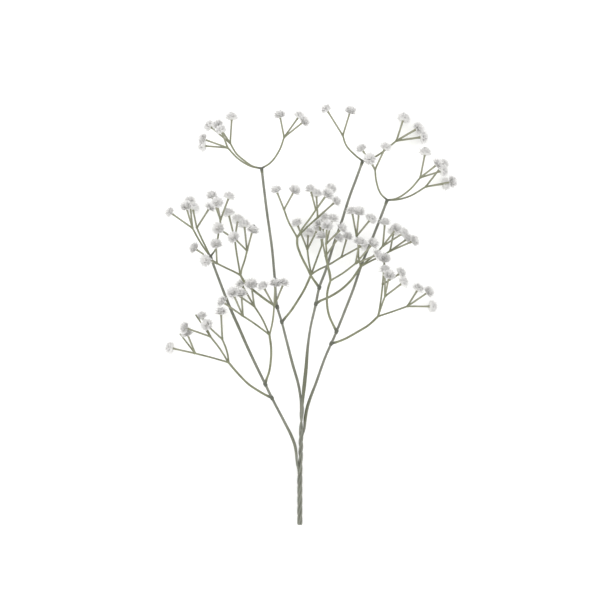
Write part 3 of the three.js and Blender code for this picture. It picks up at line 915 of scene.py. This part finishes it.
SPRAY_STALKS = {}
for name, spray in SPRAYS.items():
    mesh, SPRAY_STALKS[name], seat = make_stalks(name, spray)
    note_fine_parts(mesh, SPRAY_STALKS[name])
    note_nearness(mesh, "joint", seat, SLEEVE_REACH, SLEEVE_FADE)
    piece = finished(mesh, name + "_stalks", name, [stalk_plastic])
    print(piece.name, "faces:", len(mesh.polygons), "stalks:", len(SPRAY_STALKS[name]))

# %% [markdown]
# ## The white plastic
# The heads are moulded in white polyethylene. It is matt, faintly warm, and lets a little light into
# itself, so that no petal is ever dark. Deep between the petals the colour is a little greyer, a
# painted shade for the petals' roots: an attribute of the head says how deep each point lies.

# %% Material: moulded white polyethylene
def make_petal_plastic():
    """Matt white that light gets into, with faint clouds, a fine grain, and painted shade in the roots."""
    material, shader, spot = new_material("moulded_white_polyethylene")
    clouds = noise(material, spot, 5 * MM, detail=3.0, roughness=0.6)
    grain = noise(material, spot, 0.5 * MM, detail=3.0, roughness=0.6)
    tone = two_tones(material, clouds, (0.3, "#D7D6D4"), (0.7, "#DFDEDD"))
    # painted shade: a greyer white deep in the petals' roots
    painted_shade = tinted(material, tone, "#D0D0C9", told_by(material, "deep"))
    relief = add(material, "ShaderNodeBump", {
        "Height": in_use(grain.outputs), "Distance": 0.03 * MM, "Strength": 0.5})
    rough = add(material, "ShaderNodeMapRange", {
        "Value": in_use(grain.outputs), "From Min": 0.3, "From Max": 0.7,
        "To Min": 0.5, "To Max": 0.68})
    wire_up(material, shader, Base_Color=in_use(painted_shade.outputs),
            Roughness=in_use(rough.outputs), Normal=in_use(relief.outputs))
    shader.inputs["IOR"].default_value = 1.51
    shader.inputs["Subsurface Weight"].default_value = 0.5
    shader.inputs["Subsurface Scale"].default_value = 2 * MM
    shader.inputs["Subsurface Radius"].default_value = (1, 1, 1)
    return material


petal_plastic = make_petal_plastic()

# %% [markdown]
# ## A petal
# A petal starts as a small grid. One side is its root and the other its tip, and each point is moved by
# a formula: along an arc from the root to the tip, as wide as the petal is there, with a notch in the
# tip that leaves two points, and a wavy rim. The sheet then gets its thickness, which closes it.

# %% Shape one petal
PETAL_ACROSS = 4
PETAL_ALONG = 5
PETAL_THICKNESS = 0.4 * MM
NOTCH = 0.5  # how deep the tip is cut in, as a share of the petal
EVEN_WIDTH = 0.3  # the share of its width that is the same from root to tip
CUPPED = 0.5  # mm that the two sides rise at the tip
RIM_WAVE = 4  # radians of a sine from the middle line to a side
BENT_OUT = 0.08  # the share by which handling moves the tip out or in
BENT_UP = 0.6  # mm that it lifts or lowers the tip
BENT_WAVY = 0.35  # mm that it makes the rim wave


def make_petal(layer, turn, chance):
    """One closed petal. Layer says where its root and its tip lie, turn is its angle on the head."""
    bm = bmesh.new()
    bmesh.ops.create_grid(bm, x_segments=PETAL_ACROSS, y_segments=PETAL_ALONG, size=0.5)
    root_out, root_up, tip_out, tip_up, arch, half_width = layer
    tip_out *= chance.uniform(1 - BENT_OUT, 1 + BENT_OUT)
    tip_up += chance.uniform(-BENT_UP, BENT_UP)
    wave = chance.uniform(-BENT_WAVY, BENT_WAVY)
    for vert in bm.verts:
        # Across runs from -1 to 1, and along from 0 at the root to 1 at the tip.
        across, along = vert.co.x * 2, vert.co.y + 0.5
        notch = NOTCH * (2 * abs(across) - 1) ** 2
        reach = along * (1 - notch * along ** 2)
        # It widens along a sine, up to three fifths of its length.
        widened = math.sin(math.pi * min(along * 0.72 + 0.06, 0.5))
        width = half_width * (EVEN_WIDTH + (1 - EVEN_WIDTH) * widened)
        out = root_out + (tip_out - root_out) * reach
        up = root_up + (tip_up - root_up) * reach + arch * math.sin(math.pi * reach)
        up += CUPPED * across * across * along + wave * math.sin(across * RIM_WAVE) * along
        vert.co = Vector((out, across * width, up)) * MM
    bmesh.ops.solidify(bm, geom=bm.faces[:], thickness=PETAL_THICKNESS)
    bmesh.ops.recalc_face_normals(bm, faces=bm.faces[:])
    bmesh.ops.rotate(bm, matrix=Matrix.Rotation(turn, 3, "Z"), verts=bm.verts[:])
    return bm


# %% [markdown]
# ## A head
# A head is a low dome: five rings of five petals, from the flat one at the bottom to the steep one at
# the top, round a core with a bore for the pin. The core is half a section that is spun round. All the
# heads come from one mould, but handling bends them differently, so a few are made with petals bent
# by chance, from a fixed seed, and every bloom is a copy of one of them. The union of so many petals
# leaves crumbs and pinholes that are too small to see, so only the main body is kept.

# %% Make the heads
# Each layer: root out and up, tip out and up, how much it arches, half width, and turn, in mm.
LAYERS = [
    ((1.4, 0.6, 9.1, 2.4, 0.2, 4.1), 0.75),
    ((1.4, 1.6, 9.3, 4.7, 0.3, 3.9), 0.25),
    ((1.3, 2.8, 8.5, 7.2, 0.4, 3.6), 0.75),
    ((1.1, 3.8, 6.6, 9.4, 0.4, 3.1), 0.25),
    ((0.8, 4.8, 3.8, 11.0, 0.2, 2.5), 0.75),
]
CORE = [
    (0, 4.6), (0.55, 4.6), (0.55, 0), (1.7, 0), (2.3, 0.5), (2.5, 2.2), (2.3, 4.2), (1.8, 6), (0, 6.8),
]
CORE_STEPS = 15
SAME_SPOT = 0.001 * MM  # two points nearer than this are one
PETALS = 5  # in each layer
PETAL_SLACK = 0.1  # radians that a petal may be turned off its place
PAINTED_SHADE_SPOT = Vector((0, 0, 2.5 * MM))  # the painted shade lies in the petals' roots round here
PAINTED_SHADE_REACH = 1.5 * MM
PAINTED_SHADE_FADE = 3.5 * MM
HEAD_KINDS = 4
SEED = 5


def make_core():
    """The core: half its section, with the pin's blind bore, spun round the pin."""
    bm = bmesh.new()
    corners = [bm.verts.new((out * MM, 0, up * MM)) for out, up in CORE]
    section = [bm.edges.new(pair) for pair in zip(corners, corners[1:])]
    bmesh.ops.spin(
        bm, geom=corners + section, cent=(0, 0, 0), axis=(0, 0, 1), angle=math.tau,
        steps=CORE_STEPS, use_merge=True)
    bmesh.ops.remove_doubles(bm, verts=bm.verts[:], dist=SAME_SPOT)
    bmesh.ops.recalc_face_normals(bm, faces=bm.faces[:])
    return bm


def without_crumbs(mesh):
    """Keep the body that the outermost point belongs to: a union of many petals leaves crumbs."""
    bm = bmesh.new()
    bm.from_mesh(mesh)
    tip = max(bm.verts, key=lambda vert: vert.co.length)
    kept, waiting = {tip}, [tip]
    while waiting:
        here = waiting.pop()
        beside = {edge.other_vert(here) for edge in here.link_edges} - kept
        kept |= beside
        waiting += beside
    bmesh.ops.delete(bm, geom=[vert for vert in bm.verts if vert not in kept], context="VERTS")
    bm.to_mesh(mesh)
    bm.free()


def make_head(number, chance):
    """One white head, standing on the origin, with its pin's bore along Z."""
    bodies = [make_core()]
    for layer, offset in LAYERS:
        for j in range(PETALS):
            turn = math.tau * (j + offset) / PETALS + chance.uniform(-PETAL_SLACK, PETAL_SLACK)
            bodies.append(make_petal(layer, turn, chance))
    mesh = fused(bodies, f"head_{number}")
    without_crumbs(mesh)
    # how deep each point lies, for the painted shade in the petals' roots
    note_nearness(mesh, "deep", PAINTED_SHADE_SPOT, PAINTED_SHADE_REACH, PAINTED_SHADE_FADE)
    return mesh


chance = random.Random(SEED)
HEADS = [make_head(number, chance) for number in range(HEAD_KINDS)]
print("heads:", [len(head.polygons) for head in HEADS])

# %% [markdown]
# ## The blooms of each spray
# A head is turned so that its own Z runs along its stalk, and it is set down on the calyx. The turn
# about the stalk is a golden angle more for each bloom, so that no two neighbours look alike. Heads
# that lie on the surface are pressed: their lowest part is squeezed until it just touches.

# %% Set the heads on their stalks
GOLDEN_TURN = 2.4  # radians
MOST_ON_A_FORK = 3
PRESSED = 2.5 * MM  # height above the surface below which a lying head gives way
PETAL_CRISP = math.radians(18)  # thin petals keep their edges, or their tips would look black


def head_place(root, heart, turn):
    """The matrix that sets a head on the stalk from root to heart."""
    axis = (heart - root).normalized()
    upright = Vector((0, 1, 0)).rotation_difference(axis).to_matrix().to_4x4()
    on_side = Matrix.Rotation(math.radians(-90), 4, "X")
    base = Matrix.Translation(heart - axis * BLOOM_HEART)
    return base @ upright @ on_side @ Matrix.Rotation(turn, 4, "Z")


def press(mesh):
    """Squeeze the lowest part of a head so that it lies on the surface."""
    lowest = min(vert.co.z for vert in mesh.vertices)
    if lowest < 0:
        for vert in mesh.vertices:
            if vert.co.z < PRESSED:
                vert.co.z = PRESSED * (vert.co.z - lowest) / (PRESSED - lowest)


def make_blooms(name, spray):
    """All the white heads of one spray, as one mesh."""
    bm = bmesh.new()
    stalks = iter(SPRAY_STALKS[name])
    for number, fork in enumerate(spray["forks"]):
        for i in range(len(fork["blooms"])):
            kind = number * MOST_ON_A_FORK + i
            head = HEADS[kind % HEAD_KINDS].copy()
            head.transform(head_place(*next(stalks), GOLDEN_TURN * kind))
            press(head)
            bm.from_mesh(head)
            bpy.data.meshes.remove(head)
    return mesh_of(bm, name + "_blooms")


for name, spray in SPRAYS.items():
    mesh = make_blooms(name, spray)
    piece = finished(
        mesh, name + "_blooms", name, [petal_plastic], crisp=PETAL_CRISP)
    print(piece.name, "faces:", len(mesh.polygons))

for head in HEADS:
    bpy.data.meshes.remove(head)

# %% [markdown]
# ## Floor and light
# The stem lies on a plain pale floor. A white sky lights it from everywhere, as a light tent does, so
# that hardly a shadow is left on the floor. One broad lamp from the upper left shapes the blooms a little.

# %% The studio
FLOOR_SIZE = 30  # metres
TENT_STRENGTH = 1.4


def make_floor():
    """A sheet of matt white paper that reaches past the frame of every view."""
    bm = bmesh.new()
    bmesh.ops.create_grid(bm, x_segments=1, y_segments=1, size=FLOOR_SIZE / 2)
    material, shader, spot = new_material("matt_white_paper")
    fibres = noise(material, spot, 2 * MM, detail=2.0)
    tone = two_tones(material, fibres, (0, "#FAFAF9"), (1, "#FCFCFB"))
    wire_up(material, shader, Base_Color=in_use(tone.outputs))
    shader.inputs["Roughness"].default_value = 0.9
    mesh = mesh_of(bm, "floor")
    mesh.materials.append(material)
    floor = bpy.data.objects.new("floor", mesh)
    bpy.context.scene.collection.objects.link(floor)


def make_lamp(name, spot, size, power):
    """A square lamp that shines at the middle of the stem and isn't seen itself."""
    light = bpy.data.lights.new(name, "AREA")
    light.size = size
    light.energy = power
    lamp = bpy.data.objects.new(name, light)
    lamp.location = spot
    lamp.rotation_euler = (-Vector(spot)).to_track_quat("-Z", "Y").to_euler()
    lamp.visible_camera = False
    bpy.context.scene.collection.objects.link(lamp)


make_floor()
make_lamp("key", spot=(-1.2, 0.9, 1.9), size=1.8, power=6)
world = bpy.data.worlds.new("light_tent")
world.use_nodes = True
world.node_tree.nodes["Background"].inputs["Color"].default_value = (1, 1, 1, 1)
world.node_tree.nodes["Background"].inputs["Strength"].default_value = TENT_STRENGTH
bpy.context.scene.world = world
bpy.context.scene.view_settings.view_transform = "Standard"

# %% [markdown]
# ## The camera
# The stem lies down, so the camera looks straight down on it. A long lens far away keeps the blooms
# that stand high from growing and sliding outwards. Its width is worked out from the grid: the frame
# is 600 squares wide at the middle height of the blooms.

# %% The camera
FRAME_WIDTH = 600 * GRID
AIM = Vector((-14.9, 20.55, 40)) * MM  # what the middle of the frame shows
CAMERA_HEIGHT = 9.0

camera_data = bpy.data.cameras.new("camera")
camera_data.lens = camera_data.sensor_width * (CAMERA_HEIGHT - AIM.z) / FRAME_WIDTH
camera_data.clip_end = 100
camera = bpy.data.objects.new("camera", camera_data)
camera.location = (AIM.x, AIM.y, CAMERA_HEIGHT)
bpy.context.scene.collection.objects.link(camera)
bpy.context.scene.camera = camera
print("lens:", round(camera_data.lens), "mm")
